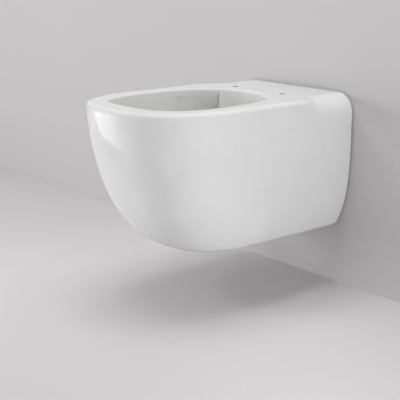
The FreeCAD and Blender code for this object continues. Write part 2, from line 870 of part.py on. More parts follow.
def bracket(side):
    """Steel angle on a wall stud: an upright flange and an arm that carries the pan's shelf."""
    body = document.addObject("PartDesign::Body", f"bracket_{side}")
    middle_x = f"{SIDES[side]} * (sizes.stud_spacing + sizes.seat_hole_spacing) / 4"
    low_x = f"{middle_x} - {BRACKET_WIDTH} / 2"
    thickness = "sizes.bracket_thickness"
    flange_height = f"sizes.bracket_above_stud - ({ARM_BOTTOM})"

    flange_sketch = sketch_on(body, f"flange_outline_{side}", "XZ_Plane", "sizes.mat_thickness")
    draw_rectangle(flange_sketch, low_x, ARM_BOTTOM, BRACKET_WIDTH, flange_height)
    add_pad(body, f"flange_{side}", flange_sketch, thickness)

    arm_sketch = sketch_on(body, f"arm_outline_{side}", "XY_Plane", ARM_BOTTOM)
    arm_length = "sizes.bracket_arm_tip - sizes.bracket_thickness"
    arm_low_y = "-sizes.mat_thickness - sizes.bracket_arm_tip"
    draw_rectangle(arm_sketch, low_x, arm_low_y, BRACKET_WIDTH, arm_length)
    add_pad(body, f"arm_{side}", arm_sketch, thickness)

    rib_height = f"sizes.bracket_above_stud / 2 - ({ARM_TOP})"
    rib_length = "sizes.bracket_rib_length"
    for edge_name, rib_x in (
        ("outer", f"{low_x}"),
        ("inner", f"{low_x} + {BRACKET_WIDTH} - sizes.bracket_rib_thickness"),
    ):
        rib_sketch = sketch_on(body, f"rib_{edge_name}_{side}", "XY_Plane", ARM_TOP)
        rib_low_y = f"{FLANGE_FRONT} - {rib_length}"
        draw_rectangle(rib_sketch, rib_x, rib_low_y, "sizes.bracket_rib_thickness", rib_length)
        add_pad(body, f"rib_{edge_name}_pad_{side}", rib_sketch, rib_height)

    stud_sketch = sketch_on(body, f"stud_hole_{side}", "XZ_Plane", "0")
    stud_hole = "sizes.stud_thread_radius + sizes.sleeve_wall + 2 * sizes.seat_gap"
    draw_circle(stud_sketch, stud_x(side), "0", stud_hole)
    add_pocket(body, f"stud_hole_pocket_{side}", stud_sketch)

    clamp_sketch = sketch_on(body, f"clamp_hole_{side}", "XY_Plane", ARM_TOP)
    clamp_radius = "sizes.clamp_screw_radius + sizes.bracket_hole_gap"
    draw_circle(clamp_sketch, clamp_x(side), CLAMP_Y, clamp_radius)
    add_pocket(body, f"clamp_hole_pocket_{side}", clamp_sketch)
    return keep(f"bracket_{side}", body)


for side_name in SIDES:
    bracket(side_name)

studs = []
for side_name in SIDES:
    thread = rod(
        f"stud_thread_{side_name}",
        "sizes.stud_thread_radius",
        "-sizes.stud_in_pan",
        "sizes.stud_in_pan",
        stud_x(side_name),
    )
    shank = rod(
        f"stud_shank_{side_name}",
        "sizes.stud_radius",
        "0 mm",
        "sizes.stud_in_wall",
        stud_x(side_name),
    )
    studs.append(fuse(f"stud_{side_name}", [thread, shank]))
group("wall_studs", studs)

sleeve_inner = "sizes.stud_thread_radius + sizes.seat_gap"
group(
    "stud_sleeves",
    [
        tube(
            f"sleeve_{s}",
            f"{sleeve_inner} + sizes.sleeve_wall",
            sleeve_inner,
            FLANGE_FRONT,
            f"-({FLANGE_FRONT})",
            stud_x(s),
        )
        for s in SIDES
    ],
)

washer_front = f"{FLANGE_FRONT} - sizes.stud_washer_thickness"
group(
    "stud_washers",
    [
        tube(
            f"stud_washer_{s}",
            "sizes.stud_washer_radius",
            "sizes.stud_radius + sizes.seat_gap",
            washer_front,
            "sizes.stud_washer_thickness",
            stud_x(s),
        )
        for s in SIDES
    ],
)


def hexagon_along_y(name, width, start, length, x):
    prism = document.addObject("Part::Prism", name)
    prism.Polygon = 6
    bind(prism, Circumradius=f"{width} / 2 / cos(30 deg)", Height=length)
    return place(prism, TOWARDS_WALL, x, start, "0")


nut_front = f"{washer_front} - sizes.stud_nut_height"
stud_nuts = []
for side_name in SIDES:
    hexagon = hexagon_along_y(
        f"stud_nut_blank_{side_name}",
        "sizes.stud_nut_width",
        nut_front,
        "sizes.stud_nut_height",
        stud_x(side_name),
    )
    bore = rod(
        f"stud_nut_bore_{side_name}",
        "sizes.stud_thread_radius + sizes.thread_gap",
        nut_front,
        "sizes.stud_nut_height",
        stud_x(side_name),
    )
    stud_nuts.append(cut(f"stud_nut_{side_name}", hexagon, bore))
group("stud_nuts", stud_nuts)


# ---------------------------------------------------------------- clamps that hold the pan down

pad_middle_x = "{0} * (sizes.stud_spacing + sizes.seat_hole_spacing) / 4"
pad_low_y = "-sizes.mat_thickness - sizes.bracket_arm_tip"
pad_length = "sizes.bracket_arm_tip - sizes.shelf_back_gap - sizes.pad_end_gap"
clamp_gap_radius = "sizes.clamp_screw_radius + sizes.bracket_hole_gap"
pads = []
for side_name, sign in SIDES.items():
    sheet_pad = box(
        f"pad_blank_{side_name}",
        BRACKET_WIDTH,
        pad_length,
        "sizes.pad_thickness",
        f"{pad_middle_x.format(sign)} - {BRACKET_WIDTH} / 2",
        pad_low_y,
        ARM_TOP,
    )
    pad_hole = post(
        f"pad_hole_{side_name}",
        clamp_gap_radius,
        ARM_TOP,
        "sizes.pad_thickness",
        clamp_x(side_name),
        CLAMP_Y,
    )
    pads.append(cut(f"pad_{side_name}", sheet_pad, pad_hole))
group("bracket_pads", pads)

bushes = []
for side_name in SIDES:
    flange = post(
        f"bush_flange_{side_name}",
        "sizes.bush_flange_radius",
        SHELF_TOP,
        "sizes.bush_flange_thickness",
        clamp_x(side_name),
        CLAMP_Y,
    )
    neck = post(
        f"bush_neck_{side_name}",
        "sizes.clamp_hole_radius - sizes.seat_gap",
        f"{SHELF_BOTTOM} + sizes.seat_gap",
        "sizes.shelf_thickness",
        clamp_x(side_name),
        CLAMP_Y,
    )
    bush_bore = post(
        f"bush_bore_{side_name}",
        "sizes.clamp_screw_radius + sizes.seat_gap",
        SHELF_BOTTOM,
        "sizes.shelf_thickness + sizes.bush_flange_thickness",
        clamp_x(side_name),
        CLAMP_Y,
    )
    bushes.append(cut(f"bush_{side_name}", fuse(f"bush_blank_{side_name}", [flange, neck]), bush_bore))
group("clamp_bushes", bushes)

bush_top = f"{SHELF_TOP} + sizes.bush_flange_thickness"
group(
    "clamp_washers",
    [
        ring(
            f"clamp_washer_{s}",
            "sizes.clamp_washer_radius",
            "sizes.clamp_screw_radius + sizes.seat_gap",
            bush_top,
            "sizes.clamp_washer_thickness",
            clamp_x(s),
            CLAMP_Y,
        )
        for s in SIDES
    ],
)

head_bottom = f"{bush_top} + sizes.clamp_washer_thickness"
screw_tip = f"{ARM_BOTTOM} - sizes.nut_plate_thickness - sizes.clamp_tip_length"
screws = []
for side_name in SIDES:
    head = post(
        f"clamp_head_{side_name}",
        "sizes.clamp_head_radius",
        head_bottom,
        "sizes.clamp_head_height",
        clamp_x(side_name),
        CLAMP_Y,
    )
    shank = post(
        f"clamp_shank_{side_name}",
        "sizes.clamp_screw_radius",
        screw_tip,
        f"{head_bottom} - ({screw_tip})",
        clamp_x(side_name),
        CLAMP_Y,
    )
    key = document.addObject("Part::Prism", f"clamp_key_{side_name}")
    key.Polygon = 6
    bind(key, Circumradius="sizes.clamp_key_width / 2 / cos(30 deg)", Height="sizes.clamp_key_depth")
    key_bottom = f"{head_bottom} + sizes.clamp_head_height - sizes.clamp_key_depth"
    place(key, Rotation(), clamp_x(side_name), CLAMP_Y, key_bottom)
    screws.append(cut(f"clamp_screw_{side_name}", fuse(f"clamp_blank_{side_name}", [head, shank]), key))
group("clamp_screws", screws)

plates = []
for side_name in SIDES:
    plate_bottom = f"{ARM_BOTTOM} - sizes.nut_plate_thickness"
    plate = box(
        f"nut_plate_blank_{side_name}",
        "sizes.nut_plate_width",
        "sizes.nut_plate_width",
        "sizes.nut_plate_thickness",
        f"{clamp_x(side_name)} - sizes.nut_plate_width / 2",
        f"{CLAMP_Y} - sizes.nut_plate_width / 2",
        plate_bottom,
    )
    plate_bore = post(
        f"nut_plate_bore_{side_name}",
        "sizes.clamp_screw_radius + sizes.thread_gap",
        plate_bottom,
        "sizes.nut_plate_thickness",
        clamp_x(side_name),
        CLAMP_Y,
    )
    plates.append(cut(f"nut_plate_{side_name}", plate, plate_bore))
group("clamp_nut_plates", plates)


# ---------------------------------------------------------------- flush and waste connections

INLET_Z = "sizes.rim_above_studs - sizes.inlet_below_rim"
OUTLET_Z = "sizes.rim_above_studs - sizes.outlet_below_rim"
BACK = "-sizes.mat_thickness"

flush_insert_length = "sizes.flush_pipe_in_socket + sizes.mat_thickness"
flush_length = f"{flush_insert_length} + sizes.flush_pipe_behind_wall"
flush_start = f"{BACK} - sizes.flush_pipe_in_socket"
flush_inner = "sizes.flush_pipe_radius - sizes.flush_pipe_wall"
flush_insert = rod(
    "flush_pipe_insert", "sizes.flush_insert_radius", flush_start, flush_insert_length, "0", INLET_Z
)
flush_behind = rod(
    "flush_pipe_behind", "sizes.flush_pipe_radius", "0 mm", "sizes.flush_pipe_behind_wall", "0", INLET_Z
)
flush_bore = rod("flush_pipe_bore", flush_inner, flush_start, flush_length, "0", INLET_Z)
keep("flush_pipe", cut("flush_pipe", fuse("flush_pipe_blank", [flush_insert, flush_behind]), flush_bore))

seal_inner = "sizes.flush_insert_radius + sizes.seat_gap"
seal_sleeve = rod(
    "flush_seal_sleeve",
    "sizes.socket_radius - sizes.seat_gap",
    flush_start,
    "sizes.flush_pipe_in_socket",
    "0",
    INLET_Z,
)
seal_collar = rod(
    "flush_seal_collar",
    "sizes.mat_inlet_hole_radius - 2 * sizes.seat_gap",
    BACK,
    "sizes.mat_thickness - sizes.seat_gap",
    "0",
    INLET_Z,
)
seal_bore = rod("flush_seal_bore", seal_inner, flush_start, flush_length, "0", INLET_Z)
keep("flush_seal", cut("flush_seal", fuse("flush_seal_blank", [seal_sleeve, seal_collar]), seal_bore))

keep(
    "flow_limiter",
    tube(
        "flow_limiter",
        "sizes.socket_radius - sizes.seat_gap",
        "sizes.limiter_orifice_radius",
        f"{BACK} - sizes.socket_depth",
        "sizes.limiter_thickness",
        "0",
        INLET_Z,
    ),
)

socket_start = f"{BACK} - sizes.waste_socket_depth"
shoulder_start = f"{BACK} + sizes.seat_gap"
waste_end_length = "sizes.mat_thickness + sizes.waste_pipe_behind_wall"
socket_inner = "sizes.waste_socket_radius - sizes.waste_socket_wall"
pipe_inner = "sizes.waste_pipe_radius - sizes.waste_pipe_wall"
socket_outside = rod(
    "waste_socket_outside",
    "sizes.waste_socket_radius",
    socket_start,
    "sizes.waste_socket_depth + sizes.waste_socket_wall",
    "0",
    OUTLET_Z,
)
pipe_outside = rod("waste_pipe_outside", "sizes.waste_pipe_radius", BACK, waste_end_length, "0", OUTLET_Z)
socket_inside = rod(
    "waste_socket_inside",
    socket_inner,
    socket_start,
    "sizes.waste_socket_depth + sizes.seat_gap",
    "0",
    OUTLET_Z,
)
pipe_inside = rod("waste_pipe_inside", pipe_inner, BACK, waste_end_length, "0", OUTLET_Z)
waste_blank = fuse("waste_blank", [socket_outside, pipe_outside])
waste_space = fuse("waste_space", [socket_inside, pipe_inside])
keep("waste_connector", cut("waste_connector", waste_blank, waste_space))

lip_outer = f"{socket_inner} - sizes.seat_gap"
lip_inner = "sizes.spigot_radius + sizes.seat_gap"
seal_start = f"{socket_start} + sizes.seat_gap"
seal_rings = [
    tube(
        "waste_seal_band",
        lip_outer,
        f"{lip_outer} - sizes.waste_seal_band",
        seal_start,
        "sizes.waste_seal_width",
        "0",
        OUTLET_Z,
    )
]
for lip in range(int(size("waste_seal_lips"))):
    lip_start = f"{seal_start} + {lip} * (sizes.waste_seal_width - sizes.waste_lip_width)"
    lip_start += " / (sizes.waste_seal_lips - 1)"
    lip_tube = tube(
        f"waste_lip_{lip + 1}",
        lip_outer,
        lip_inner,
        lip_start,
        "sizes.waste_lip_width",
        "0",
        OUTLET_Z,
    )
    seal_rings.append(lip_tube)
keep("waste_seal", fuse("waste_seal", seal_rings))

keep(
    "waste_seal_ring",
    tube(
        "waste_seal_ring",
        "sizes.waste_socket_radius",
        f"{lip_inner} + sizes.seat_gap",
        f"{socket_start} - sizes.retaining_ring_width",
        "sizes.retaining_ring_width",
        "0",
        OUTLET_Z,
    ),
)


# ---------------------------------------------------------------- check and write

document.recompute()
for feature in document.Objects:
    bad = [state for state in feature.State if state in ("Invalid", "Error")]
    if bad:
        raise ValueError(f"{feature.Name} is {bad}")

os.makedirs("parts", exist_ok=True)
for name, feature in parts.items():
    shape = feature.Shape
    if shape.isNull() or not shape.isValid() or not shape.Solids:
        raise ValueError(f"{name} has no sound shape")
    shape.exportStep(f"parts/{name}.step")
    print(f"{name:18s} solids {len(shape.Solids)}  volume {shape.Volume / 1000:.2f} cm3")
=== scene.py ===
# %% [markdown]
# This script builds a wall hung toilet pan in white glazed china, fixed to a wall and seen from
# its front left. The imported CAD model gives every piece its place and its true size. So the
# first step loads it.

import math

import bmesh
import bpy
from mathutils import Matrix, Vector
from mathutils.bvhtree import BVHTree


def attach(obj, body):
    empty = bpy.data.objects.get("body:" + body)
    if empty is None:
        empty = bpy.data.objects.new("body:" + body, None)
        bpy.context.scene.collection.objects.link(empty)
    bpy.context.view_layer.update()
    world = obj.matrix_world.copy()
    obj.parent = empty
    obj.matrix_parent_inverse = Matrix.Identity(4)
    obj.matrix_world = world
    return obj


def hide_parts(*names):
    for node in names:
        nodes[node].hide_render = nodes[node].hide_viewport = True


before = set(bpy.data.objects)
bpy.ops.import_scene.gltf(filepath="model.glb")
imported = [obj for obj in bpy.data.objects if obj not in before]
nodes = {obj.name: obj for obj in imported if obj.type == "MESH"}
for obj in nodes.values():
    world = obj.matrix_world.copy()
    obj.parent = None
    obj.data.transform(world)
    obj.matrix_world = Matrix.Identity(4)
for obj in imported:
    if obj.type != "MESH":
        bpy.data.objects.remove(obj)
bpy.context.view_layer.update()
scene = bpy.context.scene
print("pieces:", sorted(nodes))

# %% [markdown]
# The picture is square, and the pan is seen from its front left and a little above.
# A camera could be placed by eye, but then the perspective is seldom right. Here its place,
# direction and focal length come from the pan's own outline, so that the model's perspective
# agrees with the picture. Nothing is shifted and no lens blur is used.

# %% Camera
PICTURE_WIDTH, FOCAL_LENGTH = 400, 932.82       # both in picture points
CAMERA_AT = (1.54275, -1.58328, 0.37645)
AZIMUTH, ELEVATION = math.radians(50.184), math.radians(14.686)

camera_data = bpy.data.cameras.new("camera")
camera_data.sensor_fit = "HORIZONTAL"
camera_data.sensor_width = 36.0
camera_data.lens = FOCAL_LENGTH * camera_data.sensor_width / PICTURE_WIDTH
camera = bpy.data.objects.new("camera", camera_data)
scene.collection.objects.link(camera)
camera.location = CAMERA_AT
backwards = Vector((
    math.sin(AZIMUTH) * math.cos(ELEVATION),
    -math.cos(AZIMUTH) * math.cos(ELEVATION),
    math.sin(ELEVATION),
))
camera.rotation_euler = backwards.to_track_quat("Z", "Y").to_euler()
scene.camera = camera
print("lens", round(camera_data.lens, 2), "mm")

# %% [markdown]
# Every surface gets its colour from a small set of shader nodes. Real glaze, paint, zinc and
# rubber are never one even colour, so each finish starts from a soft noise between two close
# shades, taken in the piece's own space. A picture of a surface could be wrapped round the piece
# instead, but it would need to be unwrapped and would show where it repeats. A noise texture
# gives the unevenness, a colour ramp turns it into the two shades, and a bump node makes a
# fine relief of the same noise, so that colour and relief belong together.

# %% Helpers for materials
SHADES_FROM, SHADES_TO = 0.3, 0.7       # the part of the noise's range that the shades fill
NOISE_DETAIL = 3.0


def new_material(name):
    material = bpy.data.materials.new(name)
    material.use_nodes = True
    nodes_of = material.node_tree.nodes
    nodes_of.clear()
    output = nodes_of.new("ShaderNodeOutputMaterial")
    shader = nodes_of.new("ShaderNodeBsdfPrincipled")
    material.node_tree.links.new(shader.outputs[0], output.inputs[0])
    return material, shader


def node(material, kind, **values):
    made = material.node_tree.nodes.new(kind)
    for name, value in values.items():
        setattr(made, name, value)
    return made


def join(material, source, target):
    material.node_tree.links.new(source, target)


def speckled(material, shader, scale, low, high):
    """Soft uneven colour on the shader, from a noise in the piece's own space."""
    place = node(material, "ShaderNodeTexCoord")
    noise = node(material, "ShaderNodeTexNoise")
    noise.inputs["Scale"].default_value = scale
    noise.inputs["Detail"].default_value = NOISE_DETAIL
    ramp = node(material, "ShaderNodeValToRGB")
    ramp.color_ramp.elements[0].position = SHADES_FROM
    ramp.color_ramp.elements[1].position = SHADES_TO
    ramp.color_ramp.elements[0].color = (*low, 1)
    ramp.color_ramp.elements[1].color = (*high, 1)
    join(material, place.outputs["Object"], noise.inputs["Vector"])
    join(material, noise.outputs["Fac"], ramp.inputs["Fac"])
    join(material, ramp.outputs["Color"], shader.inputs["Base Color"])
    return noise


def roughened(material, shader, noise, strength, distance):
    """Fine relief on the shader, from the same noise as its colour."""
    bump = node(material, "ShaderNodeBump")
    bump.inputs["Strength"].default_value = strength
    bump.inputs["Distance"].default_value = distance
    join(material, noise.outputs["Fac"], bump.inputs["Height"])
    join(material, bump.outputs["Normal"], shader.inputs["Normal"])


print("noise shades fill", SHADES_FROM, "to", SHADES_TO, "of its range")

# %% [markdown]
# The room is only a setting: one plain wall that carries the pan, and a plain floor. Both have
# matt paint on them, nearly without gloss, so that they don't mirror the lamps. Their light and
# dark come from the lamps and from the pan's own shadow, as in a real room. They could be
# painted in as slow changes of colour, but that would look wrong under any other light.

# %% Paint of the wall
def matt(shader, roughness):
    shader.inputs["Roughness"].default_value = roughness
    shader.inputs["Specular IOR Level"].default_value = 0.1


wall_colour, wall_shader = new_material("wall_paint")
speckled(wall_colour, wall_shader, 1.2, (0.588, 0.578, 0.583), (0.603, 0.593, 0.599))
matt(wall_shader, 0.9)
print("wall paint:", len(wall_colour.node_tree.nodes), "shader nodes")

# %% [markdown]
# The fixings behind the pan are worth a look too, and the wall would hide them. A real wall
# can't be looked through, but a sheet can: each of its sides may have a finish of its own. So
# the side towards the room is paint, and the side away from it is clear.

# %% Clear back of the wall
side = node(wall_colour, "ShaderNodeNewGeometry")
clear = node(wall_colour, "ShaderNodeBsdfTransparent")
choice = node(wall_colour, "ShaderNodeMixShader")
join(wall_colour, side.outputs["Backfacing"], choice.inputs["Fac"])
join(wall_colour, wall_shader.outputs[0], choice.inputs[1])
join(wall_colour, clear.outputs[0], choice.inputs[2])
outlet = next(item for item in wall_colour.node_tree.nodes if item.type == "OUTPUT_MATERIAL")
join(wall_colour, choice.outputs[0], outlet.inputs[0])
print("wall paint with a clear back:", len(wall_colour.node_tree.nodes), "shader nodes")

# %% [markdown]
# The floor is a plain poured one, a little lighter than the wall. It's made in the same way
# with a finish that is a trace less matt, and it needs no clear side, because nobody looks at
# the pan from below it.

# %% Paint of the floor
floor_colour, floor_shader = new_material("floor_paint")
speckled(floor_colour, floor_shader, 0.9, (0.642, 0.632, 0.637), (0.660, 0.650, 0.655))
matt(floor_shader, 0.85)
print("floor paint:", len(floor_colour.node_tree.nodes), "shader nodes")

# %% [markdown]
# The wall stands where the pan's back meets it, and the floor lies a hand's breadth below the
# pan, where the two meet in the picture. A box with walls all round could be built, but only
# two of its sides would ever show. So each is one square from create_grid, which a matrix
# stretches and turns so that it lies between two of its sides.

# %% Room
FLOOR_Z = -0.3686
WALL_Y = 0.0003     # a hair behind the mat, so that the two faces don't lie in one plane
ROOM_CORNER, ROOM_WIDTH, WALL_HEIGHT = -6, 12, 5


def sheet(name, corner, across, along, material):
    """A flat sheet from one corner and two sides; it faces across x along."""
    bm = bmesh.new()
    bmesh.ops.create_grid(bm, x_segments=1, y_segments=1, size=0.5)
    to_place = Matrix.Identity(4)
    across, along = Vector(across), Vector(along)
    facing = across.cross(along).normalized()
    for row in range(3):
        to_place[row][0] = across[row]
        to_place[row][1] = along[row]
        to_place[row][2] = facing[row]
        to_place[row][3] = corner[row] + (across[row] + along[row]) / 2
    bmesh.ops.transform(bm, matrix=to_place, verts=bm.verts)
    mesh = bpy.data.meshes.new(name)
    bm.to_mesh(mesh)
    bm.free()
    mesh.materials.append(material)
    made = bpy.data.objects.new(name, mesh)
    scene.collection.objects.link(made)
    return made


width = (ROOM_WIDTH, 0, 0)
sheet("room_floor", (ROOM_CORNER, ROOM_CORNER, FLOOR_Z), width, (0, ROOM_WIDTH, 0), floor_colour)
sheet("room_wall", (ROOM_CORNER, WALL_Y, FLOOR_Z), width, (0, 0, WALL_HEIGHT), wall_colour)
print("floor at", FLOOR_Z, "m")

# %% [markdown]
# The picture's light is soft and comes from all round, as in a studio: broad panels overhead,
# low panels to the left and the right, and weak ones close to the bowl and to the pan's right
# side. Their strengths were chosen so that the china's tone agrees with the picture in each
# place. An area light is used for each, because its width makes the soft edge of the shadow.
# Only two of them may show in the glaze: a panel overhead, which draws the thin bright
# line along the rim's edge, and a small low one at the front left, which makes the bright patch
# on the nose. The others only light it.

# %% Lights
def area_light(name, place, target, width, height, power, in_glaze=False):
    data = bpy.data.lights.new(name, "AREA")
    data.shape = "RECTANGLE"
    data.size = width
    data.size_y = height
    data.energy = power
    lamp = bpy.data.objects.new(name, data)
    scene.collection.objects.link(lamp)
    lamp.location = place
    facing = (Vector(place) - Vector(target)).to_track_quat("Z", "Y")
    lamp.rotation_euler = facing.to_matrix().to_euler()
    lamp.visible_camera = False
    lamp.visible_glossy = in_glaze
    return lamp


area_light("overhead_near", (0, -0.7, 2.4), (0, -0.7, 0), 1.2, 1.2, 19)
area_light("overhead_glint", (0, -0.7, 2.4), (0, -0.7, 0), 1.2, 1.2, 8, in_glaze=True)
area_light("overhead_middle", (0, -2.0, 2.4), (0, -2.0, 0), 1.2, 1.2, 9)
area_light("overhead_far", (-1.5, -3.3, 2.4), (-1.5, -3.3, 0), 1.2, 1.2, 42)
area_light("over_bowl", (0.25, -0.35, 1.0), (-0.05, -0.33, 0.05), 0.4, 0.4, 1.0)
area_light("left_low", (-2.6, -2.2, 0.3), (0, -2.2, 0.3), 1.3, 1.2, 59)
area_light("left_by_wall", (-2.6, -0.7, 0.3), (0, -0.7, 0.3), 1.3, 1.2, 3.2)
area_light("right_low", (2.6, -0.7, 0.3), (0, -0.7, 0.3), 1.3, 1.2, 16.5)
area_light("right_close", (0.75, -0.6, 0.0), (0.1, -0.35, 0), 0.3, 0.3, 0.9)
nose_patch = area_light(
    "nose_patch", (-0.49, -0.95, -0.17), (-0.10, -0.52, -0.03), 0.62, 0.34, 1.33, in_glaze=True,
)

# %% [markdown]
# What the lamps don't reach is never quite black, because a room's walls throw some light back.
# The world gives that last trace. Colours are shown as they are, without a film look.

# %% Light of the room itself
world = bpy.data.worlds.new("soft_room")
world.use_nodes = True
world.node_tree.nodes["Background"].inputs["Color"].default_value = (0.9, 0.9, 0.9, 1)
world.node_tree.nodes["Background"].inputs["Strength"].default_value = 0.01
scene.world = world
scene.view_settings.view_transform = "Standard"
print("colours shown:", scene.view_settings.view_transform)

# %% [markdown]
# The bright patch on the nose has a round lower left edge and fades out towards the right.
# The real one would be a window or a studio panel with a cloth over it. So the panel is dark
# outside a quarter ellipse and dims evenly across. Both come from the place on the panel, which
# runs from 0 to 1 along each of its sides.

# %% Shape of the patch's light
PATCH_DIMS = (0.20, 0.95)       # along the panel's width
PATCH_EDGE = (0.95, 1.02)       # from the corner of the quarter ellipse


def fade(tree, value, reach):
    """1 before the reach, 0 after it and an even swing between."""
    span = tree.nodes.new("ShaderNodeMapRange")
    span.interpolation_type = "SMOOTHSTEP"
    span.inputs["From Min"].default_value = reach[0]
    span.inputs["From Max"].default_value = reach[1]
    span.inputs["To Min"].default_value = 1.0
    span.inputs["To Max"].default_value = 0.0
    tree.links.new(value, span.inputs["Value"])
    return span.outputs["Result"]


nose_patch.data.use_nodes = True
tree = nose_patch.data.node_tree
emission = next(item for item in tree.nodes if item.type == "EMISSION")
place_on_panel = tree.nodes.new("ShaderNodeTexCoord").outputs["UV"]
split = tree.nodes.new("ShaderNodeSeparateXYZ")
tree.links.new(place_on_panel, split.inputs[0])
from_corner = tree.nodes.new("ShaderNodeVectorMath")
from_corner.operation = "DISTANCE"
from_corner.inputs[1].default_value = (1.0, 1.0, 0.0)
tree.links.new(place_on_panel, from_corner.inputs[0])
both = tree.nodes.new("ShaderNodeMath")
both.operation = "MULTIPLY"
tree.links.new(fade(tree, split.outputs["X"], PATCH_DIMS), both.inputs[0])
tree.links.new(fade(tree, from_corner.outputs["Value"], PATCH_EDGE), both.inputs[1])
tree.links.new(both.outputs[0], emission.inputs["Strength"])
print("patch panel:", len(tree.nodes), "shader nodes")

# %% [markdown]
# Vitreous china is white clay under a thin glass-like glaze. It could be built in two layers,
# but the glaze is far thinner than a millimetre, so one shader does: the clay's white as its
# colour, and a smooth surface over it. A faint unevenness from firing makes it mirror the
# lights softly.

# %% China finish
china, glaze = new_material("glazed_china")
firing = speckled(china, glaze, 14, (0.84, 0.84, 0.835), (0.87, 0.87, 0.865))
roughened(china, glaze, firing, 0.05, 0.0004)
glaze.inputs["Roughness"].default_value = 0.08
glaze.inputs["IOR"].default_value = 1.5
print("finish:", china.name)

# %% [markdown]
# The pan is one casting. Its outside is a smooth skirt that is straight along the sides, round
# at the nose and drawn in towards its underside. The CAD model has the same outside in flat
# facets. Sculpting it smooth would lose its sizes, so the outline is worked out from the sizes
# themselves: its width and reach at each depth, and an oval with squarer corners for the nose.

# %% Outline of the skirt
RIM_Z, BACK_Y = 0.080, -0.004
PAN_WIDTH, PAN_REACH, PAN_DEPTH = 0.355, 0.5394, 0.3153
NOSE_LENGTH, NOSE_SIDE_POWER, NOSE_FRONT_POWER = 0.1954, 2.663, 2.305
SIDE_TUCK, SIDE_TUCK_POWER = 0.0428, 5.086
FRONT_TUCK, FRONT_TUCK_POWER, FRONT_ROUNDNESS = 0.1467, 1.845, 1.461


def skirt_point(depth, station, inset):
    """Place on the skirt's right half; stations run from the nose, 0, to the wall, 2."""
    share = min(depth / PAN_DEPTH, 1.0)
    half_width = PAN_WIDTH / 2 - SIDE_TUCK * share ** SIDE_TUCK_POWER
    falling = max(1.0 - share ** FRONT_TUCK_POWER, 0.0)
    reach = PAN_REACH - FRONT_TUCK * (1.0 - falling ** (1.0 / FRONT_ROUNDNESS))
    nose = NOSE_LENGTH * reach / PAN_REACH
    widest_y = BACK_Y - reach + nose
    if station > 1.0:
        y = widest_y + (BACK_Y - widest_y) * (station - 1.0)
        return Vector((half_width - inset, y, RIM_Z - depth))
    turn = math.pi / 2 * station ** (NOSE_SIDE_POWER / 2)
    across = math.sin(turn) ** (2 / NOSE_SIDE_POWER)
    along = max(math.cos(turn), 0.0) ** (2 / NOSE_FRONT_POWER)
    slope_x = NOSE_SIDE_POWER * across ** (NOSE_SIDE_POWER - 1) / half_width
    slope_y = -NOSE_FRONT_POWER * along ** (NOSE_FRONT_POWER - 1) / nose
    length = math.hypot(slope_x, slope_y)
    x = half_width * across - inset * slope_x / length
    y = widest_y - nose * along - inset * slope_y / length
    return Vector((x, y, RIM_Z - depth))


print("nose at y", round(skirt_point(0.0, 0.0, 0.0).y, 4), "m")

# %% [markdown]
# Clay can't be cast with sharp edges, and the rim's edge is pleasant to the hand. It's rounded
# with a small radius all the way, but behind the seat the top falls away to the sides in a much
# wider shoulder. A bevel has one width, and here it changes from place to place. So the edge is
# drawn into each line down the skirt: a rounded rim edge, a long wall and a rounded lower edge.

# %% A line down the skirt
RIM_EDGE, SHOULDER = 0.010, 0.044
SHOULDER_START, SHOULDER_FULL = 0.150, 0.097
UNDER_EDGE = 0.0135
FLAT_STRIP = 0.0012     # a flat start next to each rounded edge keeps the shading clean
RIM_STEPS, WALL_STEPS, UNDER_STEPS = 12, 44, 10


def smooth_swing(fraction):
    """0 up to 0, 1 from 1 on, and an even swing between."""
    bounded = min(max(fraction, 0.0), 1.0)
    return bounded * bounded * (3.0 - 2.0 * bounded)


def rim_edge_at(station):
    """Radius of the rim's outer edge: small round the rim, wide at the shoulder by the wall."""
    y = skirt_point(0.0, station, 0.0).y
    start, full = BACK_Y - SHOULDER_START, BACK_Y - SHOULDER_FULL
    return RIM_EDGE + (SHOULDER - RIM_EDGE) * smooth_swing((y - start) / (full - start))


def skirt_line(station):
    """Points down the skirt at one station, from the flat rim to the flat underside."""
    radius = rim_edge_at(station)
    pairs = [(0.0, radius + FLAT_STRIP)]
    for step in range(RIM_STEPS + 1):
        turn = math.pi / 2 * (1 - step / RIM_STEPS)
        pairs.append((radius * (1 - math.sin(turn)), radius * (1 - math.cos(turn))))
    for step in range(1, WALL_STEPS):
        share = smooth_swing(step / WALL_STEPS)
        pairs.append((radius + (PAN_DEPTH - UNDER_EDGE - radius) * share, 0.0))
    for step in range(UNDER_STEPS + 1):
        turn = math.pi / 2 * step / UNDER_STEPS
        depth = PAN_DEPTH - UNDER_EDGE * (1 - math.sin(turn))
        pairs.append((depth, UNDER_EDGE * (1 - math.cos(turn))))
    pairs.append((PAN_DEPTH, UNDER_EDGE + FLAT_STRIP))
    return [skirt_point(depth, station, inset) for depth, inset in pairs]


print("points in a line:", len(skirt_line(0.0)))

# %% [markdown]
# A skin like this could be lofted between curves, but then the places of its points would be
# left to the tool. Here one operation is repeated: extrude_edge_only draws a line of points
# out, and its new points are moved to the next line's places. No face has to be listed by hand,
# and the same helpers serve the skirt and the bowl.

# %% A line of points and its extrusion
SAME_PLACE = 1e-6       # metres


def pairs_along(line, closed):
    return list(zip(line, line[1:] + [line[0]] if closed else line[1:]))


def draw_line(bm, points, closed=False):
    line = [bm.verts.new(point) for point in points]
    for pair in pairs_along(line, closed):
        bm.edges.new(pair)
    return line


